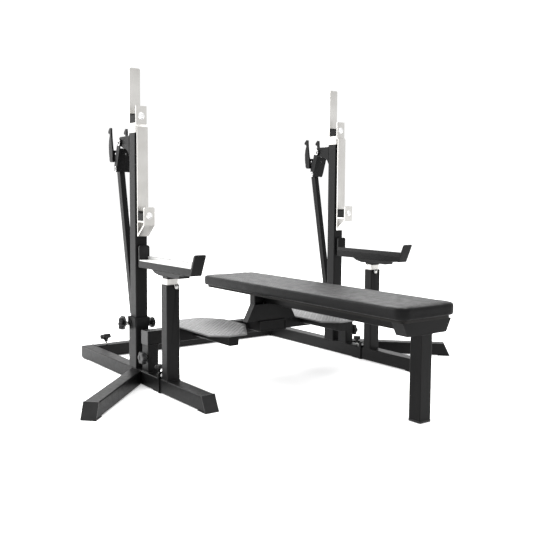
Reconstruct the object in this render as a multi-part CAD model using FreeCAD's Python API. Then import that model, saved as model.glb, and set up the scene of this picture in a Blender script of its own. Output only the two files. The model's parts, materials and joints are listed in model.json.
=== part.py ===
import FreeCAD, Part
import math
import os

# Competition bench press and squat rack. Millimetres, +Z up, floor at z = 0.
# X runs across the rack (0 at the middle of the bench), Y runs along the bench:
# the foot end of the bench is at -Y, the head end and the rear crossmember at +Y.
# Shapes are drawn with y = 0 on the uprights and moved by UPRIGHT_Y when written,
# which puts the origin on the floor in the middle of the whole footprint.

V = FreeCAD.Vector

# ---- driving dimensions -------------------------------------------------
UPRIGHT_Y = 292.0        # uprights behind the middle of the footprint
SIDE_X = 575.0           # middle of each upright from the middle of the rack
CORNER_R = 5.0           # outside corner radius of the square tubes
RUN_GAP = 0.3            # side clearance of one tube sliding in another
SCREW_GAP = 0.08         # radial clearance round a clamp screw

BASE_W = 60.0            # base tubes, square
BASE_WALL = 3.0
BASE_Z = 3.0             # underside of the base tubes
BASE_TOP = BASE_Z + BASE_W
BASE_REAR_Y = 588.0
JOINT_Y = -240.0         # where the front foot plugs onto the base beam
FOOT_TIP_Y = -578.0      # upper edge of the sloped front cap
CAP_SLOPE = 29.0         # how far a sloped end runs out from top to floor
CAP_T = 5.0
CAP_SOLE = 62.0          # the cap's sole under the tube
OUTRIGGER_ANGLE = 44.7   # from straight ahead towards the outside
OUTRIGGER_LENGTH = 577.0

UPRIGHT_W = 57.0
UPRIGHT_WALL = 3.0
UPRIGHT_BOTTOM = 68.0
UPRIGHT_TOP = 1095.0
SLEEVE_X = 64.0
SLEEVE_FRONT = -32.0
SLEEVE_REAR = 40.0
SLEEVE_TOP = 290.0
COLLAR_H = 40.0
COLLAR_T = 5.0

POST_X = 60.0            # outer post of the safety arm
POST_FRONT = -310.0
POST_REAR = -260.0
POST_WALL = 4.0
POST_TOP = 462.0
INNER_POST_BOTTOM = 90.0
INNER_POST_TOP = 486.0

ARM_W = 50.0             # safety arm tube
ARM_Z = 513.0
ARM_TOP = 543.0
LIP_T = 5.0              # upstanding guard along the inner edge of the arm
LIP_H = 18.0
ARM_REAR = -56.0
ARM_FRONT = -489.0
WEAR_T = 4.0
TAB_T = 8.0
TAB_TOP = 609.0
UPTURN_TOP = 598.0
UPTURN_LEAN = 36.0
UPTURN_T = 10.0

PLATE_T = 5.0            # stainless cup plates
PLATE_W = 51.0
PLATE_FACE = -45.5       # front face of the long front plate
PLATE_LOW = 648.0
BEND_Z = 1130.0
LIP_TOP = 1209.0
LIP_FACE = -36.0
BACK_TOP = 1376.0
SEAT_TOP = 1137.0
LINER_TOP = 1180.0
LOW_LIP_FACE = -104.0
LOW_LIP_TOP = 775.0
LOW_LIP_BEND = 697.0
LOW_SEAT = 716.0
LOW_LINER_TOP = 758.0

PIVOT_Y = 118.0          # pivot of the lift lever
PIVOT_Z = 1060.0
PIVOT_R = 8.0
LINK_IN = 29.3           # link bars straddle the pivot stub
LINK_OUT = 34.3
LINK_HALF = 14.0         # half width of a link bar
HOOK_IN = 34.7           # inside face of each hook finger from the side's middle
HOOK_OUT = 42.7
CROSS_PLATE_Y = 168.0    # plate that joins the two fingers and holds the bar in front
CROSS_PLATE_T = 7.0
CROSS_PLATE_Z = 978.0
CROSS_PLATE_TOP = 1027.0
LEVER_W = 26.0
LEVER_D = 32.0
LEVER_LEAN = 10.65       # degrees from upright
LEVER_TOP = (184.0, 1004.0)
LEVER_LOW_Z = 297.0
LEVER_BOLT = (156.9, 943.0)
LEVER_BOLT_R = 6.0
BOLT_GAP = 0.3

CROSS_FRONT = -128.0     # crossbeam under the bench
CROSS_Z = 183.0
CROSS_TOP = 243.0
CROSS_END = 597.0
SHORT_POST_X = (547.0, 597.0)
TREAD_T = 6.0
TREAD_ARM_X = (328.0, 376.0)
TREAD_ARM_H = 40.0
TREAD_ARM_FRONT = -422.0
TREAD_OUTLINE = ((166, -60), (230, 42), (382, 42), (446, -20),
                 (446, -375), (378, -432), (292, -432), (166, -238))
TREAD_SHIFT = 612.0      # the right plate and arm are the same parts as the left, further along X

PAD_W = 302.0
PAD_FOOT = -1172.0
PAD_LENGTH = 1338.0
PAD_TOP = 438.0
PAD_T = 48.0
PAD_R = 42.0
BOARD_T = 12.0
BOARD_INSET = 20.0       # the board is this much narrower than the pad each side
BOARD_END_INSET = 13.0
BOARD_R = 25.0
SPINE_W = 50.0
SPINE_LOW = 328.0
LEG_REAR = -1100.0
LEG_W = 57.0
FOOT_H = 8.0
REAR_BRACKET_FRONT = -215.0
REAR_BRACKET_D = 36.0
BRACKET_Z = 250.0

KNOB_R = 32.0            # lobed clamp knobs
KNOB_H = 22.0
STUD_R = 5.0


# ---- helpers ------------------------------------------------------------
def box(x0, x1, y0, y1, z0, z1):
    """Plain block between two corners."""
    return Part.makeBox(x1 - x0, y1 - y0, z1 - z0, V(x0, y0, z0))


def rounded(shape, radius, axis):
    """Round the edges of a block that run along one axis."""
    edges = []
    for edge in shape.Edges:
        run = edge.Vertexes[-1].Point.sub(edge.Vertexes[0].Point)
        if run.Length > 0 and abs(abs(run.dot(axis)) - run.Length) < 1e-6:
            edges.append(edge)
    return shape.makeFillet(radius, edges)


def tube(x0, x1, y0, y1, z0, z1, wall, axis, radius=CORNER_R):
    """Rectangular hollow section that is open at both ends along axis."""
    outer = rounded(box(x0, x1, y0, y1, z0, z1), radius, axis)
    grow = [wall if abs(c) < 0.5 else -1.0 for c in (axis.x, axis.y, axis.z)]
    inner = box(x0 + grow[0], x1 - grow[0], y0 + grow[1], y1 - grow[1],
                z0 + grow[2], z1 - grow[2])
    inner = rounded(inner, max(radius - wall, 0.8), axis)
    return outer.cut(inner)


def prism(points, plane, start, depth):
    """Straight-sided solid from an outline.

    plane "x": points are (y, z), extruded along X from start.
    plane "y": points are (x, z), extruded along Y. plane "z": points are (x, y).
    """
    if plane == "x":
        corners = [V(start, p[0], p[1]) for p in points]
        run = V(depth, 0, 0)
    elif plane == "y":
        corners = [V(p[0], start, p[1]) for p in points]
        run = V(0, depth, 0)
    else:
        corners = [V(p[0], p[1], start) for p in points]
        run = V(0, 0, depth)
    wire = Part.makePolygon(corners + [corners[0]])
    return Part.Face(wire).extrude(run)


def rod(point, direction, radius, length):
    """Round bar from a point along a direction."""
    return Part.makeCylinder(radius, length, point, direction)


def mirrored(shape):
    """The same piece on the other side of the rack."""
    return shape.mirror(V(0, 0, 0), V(1, 0, 0))


def lobed_knob(point, direction, stud, neck, radius=KNOB_R, height=KNOB_H, lobes=6):
    """Clamp knob: hub with round lobes, a neck, and a steel stud of radius STUD_R.

    point is where the neck ends on the tube and direction points to the hand.
    The stud reaches back from point by stud.
    """
    turn = FreeCAD.Rotation(V(0, 0, 1), direction)
    hub = Part.makeCylinder(radius * 0.80, height, V(0, 0, neck))
    shape = hub
    for i in range(lobes):
        angle = 2 * math.pi * i / lobes
        centre = V(radius * 0.74 * math.cos(angle), radius * 0.74 * math.sin(angle), neck)
        shape = shape.fuse(Part.makeCylinder(radius * 0.26, height, centre))
    shape = shape.fuse(Part.makeCone(radius * 0.36, radius * 0.55, neck))
    shape = shape.fuse(Part.makeCylinder(STUD_R, neck + stud, V(0, 0, -stud)))
    shape = shape.removeSplitter()
    shape.Placement = FreeCAD.Placement(point, turn)
    return shape


def both_sides(shape):
    """The left piece and its mirror image as one group."""
    return Part.makeCompound([shape, mirrored(shape)])


def sloped_end(y_top, z_low, z_high, slope):
    """Block that trims a tube lying along Y to a sloped end."""
    drop = slope / (z_high - z_low)
    y_low = y_top - slope
    outline = [(y_top + drop, z_high + 1), (y_low - drop, z_low - 1),
               (y_low - 80, z_low - 1), (y_low - 80, z_high + 1)]
    return prism(outline, "x", -SIDE_X - 60, 120)


# ---- base ---------------------------------------------------------------
LEFT = -SIDE_X


def rear_crossmember():
    inner = SIDE_X - BASE_W / 2
    bar = tube(-inner, inner, BASE_REAR_Y - BASE_W, BASE_REAR_Y, BASE_Z, BASE_TOP,
               BASE_WALL, V(1, 0, 0))
    for side in (-1, 1):
        bar = bar.cut(base_knob_bore(side))
    return bar


KNOB_SIDE_X = 486.0      # clamp knob on the rear crossmember
KNOB_ROOT_Y = 546.0


def base_knob_axis(side):
    """Point on top of the crossmember and the way the knob leans."""
    direction = V(0, 0.35, 1)
    direction.normalize()
    return V(side * KNOB_SIDE_X, KNOB_ROOT_Y, BASE_TOP), direction


def base_knob_bore(side):
    point, direction = base_knob_axis(side)
    return rod(point - direction * 20, direction, STUD_R + SCREW_GAP, 40)


def base_beam():
    half = BASE_W / 2
    return tube(LEFT - half, LEFT + half, JOINT_Y + 6, BASE_REAR_Y, BASE_Z, BASE_TOP,
                BASE_WALL, V(0, 1, 0)).cut(front_lock_bore())


def front_foot():
    half = BASE_W / 2
    foot = tube(LEFT - half, LEFT + half, FOOT_TIP_Y - CAP_SLOPE - 20, JOINT_Y - 6,
                BASE_Z, BASE_TOP, BASE_WALL, V(0, 1, 0))
    return foot.cut(sloped_end(FOOT_TIP_Y + CAP_T, BASE_Z, BASE_TOP, CAP_SLOPE))


def end_cap_along_y(y_top):
    """Sloped plastic cap, standing on the floor, for a tube that points along -Y."""
    half = BASE_W / 2 + 0.6
    slope = CAP_SLOPE * BASE_TOP / BASE_W
    heel = y_top - slope + CAP_SOLE
    outline = [(y_top + CAP_T, BASE_TOP + 0.6), (y_top, BASE_TOP + 0.6), (y_top - slope, 0),
               (heel, 0), (heel, BASE_Z), (y_top - slope + CAP_T + slope / 21, BASE_Z)]
    return prism(outline, "x", LEFT - half, 2 * half)


def turned_to_outrigger(shape):
    """Swing a piece drawn along -Y about the upright's axis to the outrigger's line."""
    out = shape.copy()
    out.rotate(V(LEFT, 0, 0), V(0, 0, 1), -OUTRIGGER_ANGLE)
    return out


def outrigger():
    half = BASE_W / 2
    bar = tube(LEFT - half, LEFT + half, -OUTRIGGER_LENGTH - CAP_SLOPE - 20, -20,
               BASE_Z, BASE_TOP, BASE_WALL, V(0, 1, 0))
    bar = bar.cut(sloped_end(-OUTRIGGER_LENGTH + CAP_T, BASE_Z, BASE_TOP, CAP_SLOPE))
    bar = turned_to_outrigger(bar)
    return bar.cut(box(LEFT - half, LEFT + 200, -400, 400, -10, 200))


def tube_end_caps():
    front = end_cap_along_y(FOOT_TIP_Y)
    angled = turned_to_outrigger(end_cap_along_y(-OUTRIGGER_LENGTH))
    beam_end = rounded(box(-CROSS_END - 3, -CROSS_END, CROSS_FRONT, CROSS_FRONT + BASE_W,
                           CROSS_Z, CROSS_TOP), CORNER_R, V(1, 0, 0))
    solids = []
    for shape in (front, angled, beam_end):
        solids += [shape, mirrored(shape)]
    return Part.makeCompound(solids)


def rear_foot_pads():
    pad = box(LEFT - 28, LEFT + 28, BASE_REAR_Y - 70, BASE_REAR_Y - 10, 0, BASE_Z)
    middle = box(LEFT - 28, LEFT + 28, JOINT_Y + 8, JOINT_Y + 62, 0, BASE_Z)
    return Part.makeCompound([pad, mirrored(pad), middle, mirrored(middle)])


LOCK_Y = -182.0          # knob that locks the front foot to the base beam


def front_lock_bore():
    return rod(V(LEFT, LOCK_Y, BASE_TOP - 10), V(0, 0, 1), STUD_R + SCREW_GAP, 20)


def joint_flanges():
    half = BASE_W / 2 + 5
    opening = BASE_W / 2 - BASE_WALL
    plates = []
    for y in (JOINT_Y, JOINT_Y - 6):
        plate = rounded(box(LEFT - half, LEFT + half, y, y + 6, 0, BASE_TOP + 27),
                        6, V(0, 1, 0))
        window = box(LEFT - opening, LEFT + opening, y - 1, y + 7,
                     BASE_Z + BASE_WALL, BASE_TOP - BASE_WALL)
        plate = plate.cut(window)
        plates += [plate, mirrored(plate)]
    for dx in (-18, 18):
        bolt = rod(V(LEFT + dx, JOINT_Y - 12, BASE_TOP + 14), V(0, 1, 0), 7, 6)
        nut = rod(V(LEFT + dx, JOINT_Y + 6, BASE_TOP + 14), V(0, 1, 0), 7, 6)
        plates += [bolt, mirrored(bolt), nut, mirrored(nut)]
    return Part.makeCompound(plates)


# ---- sleeves, collars and outer posts -----------------------------------
CLAMP_Z = 257.0
CLAMP_REACH = 51.4       # from the collar's middle to just outside its rounded corner
CLAMP_STUD = 15.4        # the stud stops just short of the upright's corner


def clamp_axis():
    """Rear outer corner of the collar and the way its clamp knob points."""
    direction = V(-1, 1, 0)
    direction.normalize()
    middle_y = (SLEEVE_FRONT + SLEEVE_REAR) / 2
    return V(LEFT, middle_y, CLAMP_Z) + direction * CLAMP_REACH, direction


def clamp_bore():
    point, direction = clamp_axis()
    return rod(point - direction * 40, direction, STUD_R + SCREW_GAP, 60)


INDEX_Z = 258.0          # height of the index pin on the inner side of the collar
PIN_R = 5.0
PIN_GAP = 0.05


def index_bore():
    return rod(V(LEFT + 29, 0, INDEX_Z), V(1, 0, 0), PIN_R + PIN_GAP, 60)


def sleeve():
    outer = rounded(box(LEFT - SLEEVE_X / 2, LEFT + SLEEVE_X / 2, SLEEVE_FRONT, SLEEVE_REAR,
                        BASE_TOP, SLEEVE_TOP), CORNER_R, V(0, 0, 1))
    half = UPRIGHT_W / 2 + RUN_GAP
    bore = rounded(box(LEFT - half, LEFT + half, -half, half, BASE_TOP - 1, SLEEVE_TOP + 1),
                   CORNER_R, V(0, 0, 1))
    return outer.cut(bore).cut(clamp_bore()).cut(index_bore())


def collar():
    low = SLEEVE_TOP - COLLAR_H
    outer = rounded(box(LEFT - SLEEVE_X / 2 - COLLAR_T, LEFT + SLEEVE_X / 2 + COLLAR_T,
                        SLEEVE_FRONT - COLLAR_T, SLEEVE_REAR + COLLAR_T, low, SLEEVE_TOP),
                    CORNER_R + COLLAR_T, V(0, 0, 1))
    boss = rod(V(LEFT - SLEEVE_X / 2 - COLLAR_T, 8, 270), V(-1, 0, 0), 9, 5)
    bush = rod(V(LEFT + SLEEVE_X / 2, 0, INDEX_Z), V(1, 0, 0), 12, 20)
    band = outer.fuse([boss, bush])
    bore = rounded(box(LEFT - SLEEVE_X / 2, LEFT + SLEEVE_X / 2, SLEEVE_FRONT, SLEEVE_REAR,
                       low - 1, SLEEVE_TOP + 1), CORNER_R, V(0, 0, 1))
    return band.cut(bore).cut(clamp_bore()).cut(index_bore())


def clamp_knob():
    point, direction = clamp_axis()
    return lobed_knob(point, direction, CLAMP_STUD, 14)


def index_pin():
    """Spring pin: a plunger through the bush with a small lobed knob."""
    start = LEFT + UPRIGHT_W / 2 + 1
    plunger = rod(V(start, 0, INDEX_Z), V(1, 0, 0), PIN_R, 40)
    grip = lobed_knob(V(LEFT + SLEEVE_X / 2 + 21, 0, INDEX_Z), V(1, 0, 0), 0, 2,
                      radius=24, height=17, lobes=8)
    return plunger.fuse(grip).removeSplitter()


def front_post():
    post = tube(LEFT - POST_X / 2, LEFT + POST_X / 2, POST_FRONT, POST_REAR,
                BASE_TOP, POST_TOP, POST_WALL, V(0, 0, 1))
    return post.cut(rod(V(PIN_X, POST_FRONT - 5, PIN_Z), V(0, 1, 0), 4.0 + PIN_GAP, 12))


PIN_X = LEFT + 10        # safety arm pin in the front face of the outer post
PIN_Z = 452.0


def arm_pin():
    """Pull pin with a wire loop; its tip stops short of the inner post."""
    tip = POST_FRONT + POST_WALL + 0.3
    shank = rod(V(PIN_X, tip, PIN_Z), V(0, -1, 0), 4.0, 18)
    head = rod(V(PIN_X, tip - 10, PIN_Z), V(0, -1, 0), 7.0, 7)
    loop = Part.makeTorus(9.0, 1.6, V(PIN_X, tip - 13.5, PIN_Z + 9), V(0, 1, 0))
    return shank.fuse([head, loop]).removeSplitter()


# ---- uprights with bar cups ---------------------------------------------
def upright():
    """The sliding post, the packer under the front plate, and the pivot stub behind."""
    half = UPRIGHT_W / 2
    post = tube(LEFT - half, LEFT + half, -half, half, UPRIGHT_BOTTOM, UPRIGHT_TOP,
                UPRIGHT_WALL, V(0, 0, 1))
    stub_outline = [(half, 1084), (116, 1084), (137, 1070), (137, 1052), (90, 1034),
                    (60, 1028), (40, 1016), (half, 1000)]
    stub = prism(stub_outline, "x", LEFT - half, UPRIGHT_W)
    hollow_outline = [(half, 1078), (100, 1078), (100, 1045), (80, 1038), (half, 1034)]
    hollow = prism(hollow_outline, "x", LEFT - half + 5, UPRIGHT_W - 10)
    stub = stub.cut(hollow)
    stub = stub.cut(rod(V(LEFT - 40, PIVOT_Y, PIVOT_Z), V(1, 0, 0), PIVOT_R + PIN_GAP, 80))
    packer = box(LEFT - 20, LEFT + 20, PLATE_FACE + PLATE_T, -half, PLATE_LOW, BEND_Z - 50)
    return Part.makeCompound([post, packer, stub])


def cup_back_plate():
    """Tall stainless back plate and the box seat that carries the upper liner."""
    half = PLATE_W / 2
    rear = UPRIGHT_W / 2
    plate = box(LEFT - half, LEFT + half, rear - PLATE_T, rear, UPRIGHT_TOP, BACK_TOP)
    plate = round_top_corners(plate, BACK_TOP, 8)
    seat = box(LEFT - half, LEFT + half, LIP_FACE + PLATE_T, rear - PLATE_T,
               UPRIGHT_TOP, SEAT_TOP)
    return plate.fuse(seat).removeSplitter()


def round_top_corners(plate, top, radius):
    """Round the two upper corners of an upstanding plate that faces along Y."""
    edges = []
    for edge in plate.Edges:
        low, high = edge.BoundBox.ZMin, edge.BoundBox.ZMax
        along_y = edge.BoundBox.YLength > 1 and edge.BoundBox.XLength < 1e-6
        if along_y and abs(low - top) < 1e-6 and abs(high - top) < 1e-6:
            edges.append(edge)
    return plate.makeFillet(radius, edges)


def front_plate():
    """Long stainless plate: upper lip, body, and the stepped lip of the lower cup."""
    face = PLATE_FACE
    back = face + PLATE_T
    half = PLATE_W / 2
    body = [(LIP_FACE, LIP_TOP), (LIP_FACE + PLATE_T, LIP_TOP), (LIP_FACE + PLATE_T, BEND_Z),
            (back, BEND_Z - 10), (back, PLATE_LOW), (face, PLATE_LOW), (face, BEND_Z - 10),
            (LIP_FACE, BEND_Z)]
    lip = [(LOW_LIP_FACE, LOW_LIP_TOP), (LOW_LIP_FACE + PLATE_T, LOW_LIP_TOP),
           (LOW_LIP_FACE + PLATE_T, LOW_LIP_BEND + 4), (face, PLATE_LOW + 10),
           (face, PLATE_LOW), (face - 1, PLATE_LOW), (LOW_LIP_FACE, LOW_LIP_BEND)]
    seat = box(LEFT - half, LEFT + half, LOW_LIP_FACE + PLATE_T, face, LOW_SEAT - 6, LOW_SEAT)
    shape = prism(body, "x", LEFT - half, PLATE_W)
    shape = shape.fuse([round_top_corners(prism(lip, "x", LEFT - half, PLATE_W), LOW_LIP_TOP, 9),
                        seat])
    return shape.removeSplitter()


def cup_liner(y0, y1, z0, z1):
    """Plastic block with a shallow groove in which the bar rests."""
    half = PLATE_W / 2 - 1
    block = box(LEFT - half, LEFT + half, y0, y1, z0, z1)
    groove_r = (y1 - y0) * 0.62
    rise = math.sqrt(groove_r ** 2 - ((y1 - y0) / 2 - 2) ** 2)
    groove = rod(V(LEFT - half - 1, (y0 + y1) / 2, z1 + rise), V(1, 0, 0), groove_r, PLATE_W)
    return block.cut(groove)


def cup_liners():
    upper = cup_liner(LIP_FACE + PLATE_T, UPRIGHT_W / 2 - PLATE_T, SEAT_TOP, LINER_TOP)
    lower = cup_liner(LOW_LIP_FACE + PLATE_T, PLATE_FACE, LOW_SEAT, LOW_LINER_TOP)
    return Part.makeCompound([upper, lower])


def dome_bolt(y, z, radius=15.0, height=6.0):
    """Low domed head standing on a plate that faces -Y."""
    head = rod(V(LEFT, y, z), V(0, -1, 0), radius, height)
    rim = [e for e in head.Edges if e.BoundBox.YMax < y - height + 0.01]
    return head.makeFillet(height * 0.8, rim)


def pivot_bolt(y, z, radius, inside, head_r, head_h):
    """Bolt along X through both hook plates with a washer head each side."""
    shank = rod(V(LEFT - inside, y, z), V(1, 0, 0), radius, 2 * inside)
    heads = []
    for side in (-1, 1):
        base = V(LEFT + side * inside, y, z)
        heads.append(rod(base, V(side, 0, 0), head_r, 2))
        heads.append(rod(base + V(side * 2, 0, 0), V(side, 0, 0), head_r * 0.75, head_h - 2))
    return shank.fuse(heads).removeSplitter()


def upright_bolts():
    stop = rod(V(LEFT, 85, 1084), V(0, 0, 1), 3, 28)
    return Part.makeCompound([dome_bolt(LIP_FACE, 1166), dome_bolt(LOW_LIP_FACE, 738, 14.0),
                              pivot_bolt(PIVOT_Y, PIVOT_Z, PIVOT_R, LINK_OUT + 0.4, 14.5, 14.0), stop])


# ---- lift lever ---------------------------------------------------------
def arc_points(y, z, radius, start, end, steps=8):
    """Points on an arc in the YZ plane, angles in degrees from +Y towards +Z."""
    points = []
    for i in range(steps + 1):
        a = math.radians(start + (end - start) * i / steps)
        points.append((y + radius * math.cos(a), z + radius * math.sin(a)))
    return points


def finger_outline():
    """Slender hook finger: barbed tip, bellied back and a rounded heel."""
    front = [(168, 1027), (172, 1040), (177, 1070), (181, 1100), (182, 1114)]
    tip = arc_points(190, 1120, 8.5, 165, 50, 6)
    barb = [(206, 1117), (210, 1110), (207, 1104), (196, 1101), (194, 1094)]
    back = [(201, 1075), (205, 1050), (204, 1020), (201, 1000)]
    heel = arc_points(184, 989, 15.0, 20, -90, 6)
    return front + tip + barb + back + heel + [(168, 974)]


def hook_fingers():
    """Two hook fingers joined by an upright plate with two holes."""
    outline = finger_outline()
    near = prism(outline, "x", LEFT - HOOK_OUT, HOOK_OUT - HOOK_IN)
    far = prism(outline, "x", LEFT + HOOK_IN, HOOK_OUT - HOOK_IN)
    plate = box(LEFT - HOOK_OUT, LEFT + HOOK_OUT, CROSS_PLATE_Y, CROSS_PLATE_Y + CROSS_PLATE_T,
                CROSS_PLATE_Z, CROSS_PLATE_TOP)
    heel = rod(V(LEFT - HOOK_OUT, 184, 989), V(1, 0, 0), 15, 2 * HOOK_OUT)
    heel = heel.cut(box(LEFT - 60, LEFT + 60, 150, CROSS_PLATE_Y, 960, 1010))
    for x in (-24, 24):
        hole = rod(V(LEFT + x, CROSS_PLATE_Y - 5, 1012), V(0, 1, 0), 5, 30)
        plate = plate.cut(hole)
    return near.fuse([far, plate, heel])


def link_line(z):
    """Y of the line from the pivot to the lower lever bolt at a height."""
    share = (PIVOT_Z - z) / (PIVOT_Z - LEVER_BOLT[1])
    return PIVOT_Y + share * (LEVER_BOLT[0] - PIVOT_Y)


def link_outline():
    """Flat bar with round ends from the pivot to the lower lever bolt."""
    slope = math.degrees(math.atan2(LEVER_BOLT[1] - PIVOT_Z, LEVER_BOLT[0] - PIVOT_Y))
    top = arc_points(PIVOT_Y, PIVOT_Z, LINK_HALF, slope + 90, slope + 270, 12)
    low = arc_points(LEVER_BOLT[0], LEVER_BOLT[1], LINK_HALF, slope - 90, slope + 90, 12)
    return top + low


def link_bars():
    """Two link bars with a web across their front edges and tabs to the cross plate."""
    outline = link_outline()
    near = prism(outline, "x", LEFT - LINK_OUT, LINK_OUT - LINK_IN)
    far = prism(outline, "x", LEFT + LINK_IN, LINK_OUT - LINK_IN)
    lean = LINK_HALF / math.cos(math.atan2(LEVER_BOLT[0] - PIVOT_Y, PIVOT_Z - LEVER_BOLT[1]))
    low, high = 930.0, 1034.0
    web_outline = [(link_line(low) - lean, low), (link_line(high) - lean, high),
                   (link_line(high) - lean + 5, high), (link_line(low) - lean + 5, low)]
    web = prism(web_outline, "x", LEFT - LINK_OUT, 2 * LINK_OUT)
    web = web.cut(rod(V(LEFT, 80, 1010), V(0, 1, 0), 6, 100))
    brace = box(LEFT - LINK_OUT, LEFT + LINK_OUT, 150, CROSS_PLATE_Y, 984, 1004)
    brace = brace.cut(box(LEFT - 28, LEFT + 28, 140, CROSS_PLATE_Y - 5, 980, 1010))
    return near.fuse([far, web, brace])


def hook_yoke():
    """The welded head of the lever: hook fingers, cross plate and link bars."""
    shape = hook_fingers().fuse(link_bars()).removeSplitter()
    shape = shape.cut(rod(V(LEFT - 60, PIVOT_Y, PIVOT_Z), V(1, 0, 0), PIVOT_R + PIN_GAP, 120))
    return shape.cut(lever_bolt_bore()).cut(lever_envelope())


def lever_bolt_bore():
    return rod(V(LEFT - 60, LEVER_BOLT[0], LEVER_BOLT[1]), V(1, 0, 0),
               LEVER_BOLT_R + BOLT_GAP, 120)


def lever_envelope():
    """The space that the lever's bar fills."""
    lean = math.radians(LEVER_LEAN)
    length = (LEVER_TOP[1] - LEVER_LOW_Z) / math.cos(lean)
    y, z = LEVER_TOP
    bar = box(LEFT - LEVER_W / 2, LEFT + LEVER_W / 2, y - LEVER_D / 2, y + LEVER_D / 2,
              z - length, z)
    bar.rotate(V(LEFT, y, z), V(1, 0, 0), -LEVER_LEAN)
    return bar


def lever_bar():
    lean = math.radians(LEVER_LEAN)
    length = (LEVER_TOP[1] - LEVER_LOW_Z) / math.cos(lean)
    y, z = LEVER_TOP
    bar = tube(LEFT - LEVER_W / 2, LEFT + LEVER_W / 2, y - LEVER_D / 2, y + LEVER_D / 2,
               z - length, z, 2.5, V(0, 0, 1), 3.5)
    bar.rotate(V(LEFT, y, z), V(1, 0, 0), -LEVER_LEAN)
    return bar.cut(lever_bolt_bore())


def lever_bolts():
    """Lower lever bolt and the spacers between the bar and the link bars."""
    y, z = LEVER_BOLT
    solids = [pivot_bolt(y, z, LEVER_BOLT_R, LINK_OUT, 13.5, 13.0)]
    for side in (-1, 1):
        start = V(LEFT + side * LEVER_W / 2, y, z)
        ring = rod(start, V(side, 0, 0), 9, LINK_IN - LEVER_W / 2)
        solids.append(ring.cut(lever_bolt_bore()))
    return Part.makeCompound(solids)


# ---- safety arms --------------------------------------------------------
def safety_post():
    gap = POST_WALL + 0.5
    return tube(LEFT - POST_X / 2 + gap, LEFT + POST_X / 2 - gap, POST_FRONT + gap,
                POST_REAR - gap, INNER_POST_BOTTOM, INNER_POST_TOP, 4.0, V(0, 0, 1), 3.0)


def safety_arm():
    half = ARM_W / 2
    lean = UPTURN_LEAN / (UPTURN_TOP - ARM_Z)
    bar = tube(LEFT - half, LEFT + half, ARM_FRONT - 60, ARM_REAR + TAB_T, ARM_Z, ARM_TOP,
               3.0, V(0, 1, 0), 3.0)
    cutter = [(ARM_FRONT + UPTURN_T + lean * 20, ARM_Z - 20),
              (ARM_FRONT + UPTURN_T - lean * 60, ARM_TOP + 30),
              (ARM_FRONT - 100, ARM_TOP + 30), (ARM_FRONT - 100, ARM_Z - 20)]
    bar = bar.cut(prism(cutter, "x", LEFT - 60, 120))
    upturn_outline = [(ARM_FRONT, ARM_Z), (ARM_FRONT + UPTURN_T, ARM_Z),
                      (ARM_FRONT - UPTURN_LEAN + UPTURN_T, UPTURN_TOP),
                      (ARM_FRONT - UPTURN_LEAN, UPTURN_TOP)]
    upturn = round_top_corners(prism(upturn_outline, "x", LEFT - half, ARM_W), UPTURN_TOP, 7)
    tab = round_top_corners(box(LEFT - half, LEFT + half, ARM_REAR, ARM_REAR + TAB_T,
                                ARM_TOP, TAB_TOP), TAB_TOP, 10)
    gusset_outline = [(-172, ARM_Z), (-192, ARM_Z - 10), (-232, ARM_Z - 18),
                      (-398, ARM_Z - 18), (-402, ARM_Z - 6), (-436, ARM_Z - 4), (-440, ARM_Z)]
    gusset = prism(gusset_outline, "x", LEFT - half, ARM_W)
    gap = POST_WALL + 0.5
    socket = box(LEFT - POST_X / 2 + gap, LEFT + POST_X / 2 - gap, POST_FRONT + gap,
                 POST_REAR - gap, INNER_POST_TOP, ARM_Z - 18)
    lip = box(LEFT + half - LIP_T, LEFT + half, arm_top_front(), ARM_REAR, ARM_TOP,
              ARM_TOP + LIP_H)
    lip = lip.cut(prism([(ARM_FRONT + UPTURN_T - 1, ARM_Z), (ARM_FRONT - 100, ARM_Z),
                         (ARM_FRONT - 100, UPTURN_TOP),
                         (ARM_FRONT - UPTURN_LEAN + UPTURN_T - 1, UPTURN_TOP)], "x",
                        LEFT - 60, 120))
    return bar.fuse([upturn, tab, gusset, socket, lip]).removeSplitter()


def arm_top_front():
    """Y where the upturned end's inside face is well in front of the arm's top."""
    return ARM_FRONT - UPTURN_LEAN / 2


def upturn_face(z):
    """Y of the inside face of the upturned end at a height."""
    return ARM_FRONT + UPTURN_T - UPTURN_LEAN * (z - ARM_Z) / (UPTURN_TOP - ARM_Z)


def wear_strip():
    """Plastic strip on the arm that turns up the inner guard."""
    half = ARM_W / 2
    inner = LEFT + half - LIP_T
    front = upturn_face(ARM_TOP) + 1
    flat = box(LEFT - half + 0.5, inner, front, ARM_REAR - 1, ARM_TOP, ARM_TOP + WEAR_T)
    wall = box(inner - 3, inner, front, ARM_REAR - 1, ARM_TOP, ARM_TOP + LIP_H - 1)
    return flat.fuse(wall).removeSplitter()


# ---- crossbeam, short posts and spotter plates --------------------------
def crossbeam():
    return tube(-CROSS_END, CROSS_END, CROSS_FRONT, CROSS_FRONT + BASE_W, CROSS_Z, CROSS_TOP,
                BASE_WALL, V(1, 0, 0))


POST_KNOB_Z = 127.0


def post_knob_point():
    return V(-SHORT_POST_X[1], CROSS_FRONT + BASE_W / 2 - 11, POST_KNOB_Z)


def short_posts():
    post = tube(-SHORT_POST_X[1], -SHORT_POST_X[0], CROSS_FRONT, CROSS_FRONT + BASE_W,
                BASE_TOP, CROSS_Z, BASE_WALL, V(0, 0, 1))
    bore = rod(post_knob_point() + V(10, 0, 0), V(-1, 0, 0), STUD_R + SCREW_GAP, 20)
    return both_sides(post.cut(bore))


def post_knob():
    return lobed_knob(post_knob_point() + V(-1, 0, 0), V(-1, 0, 0), 12, 8, radius=29, height=20)


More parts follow.
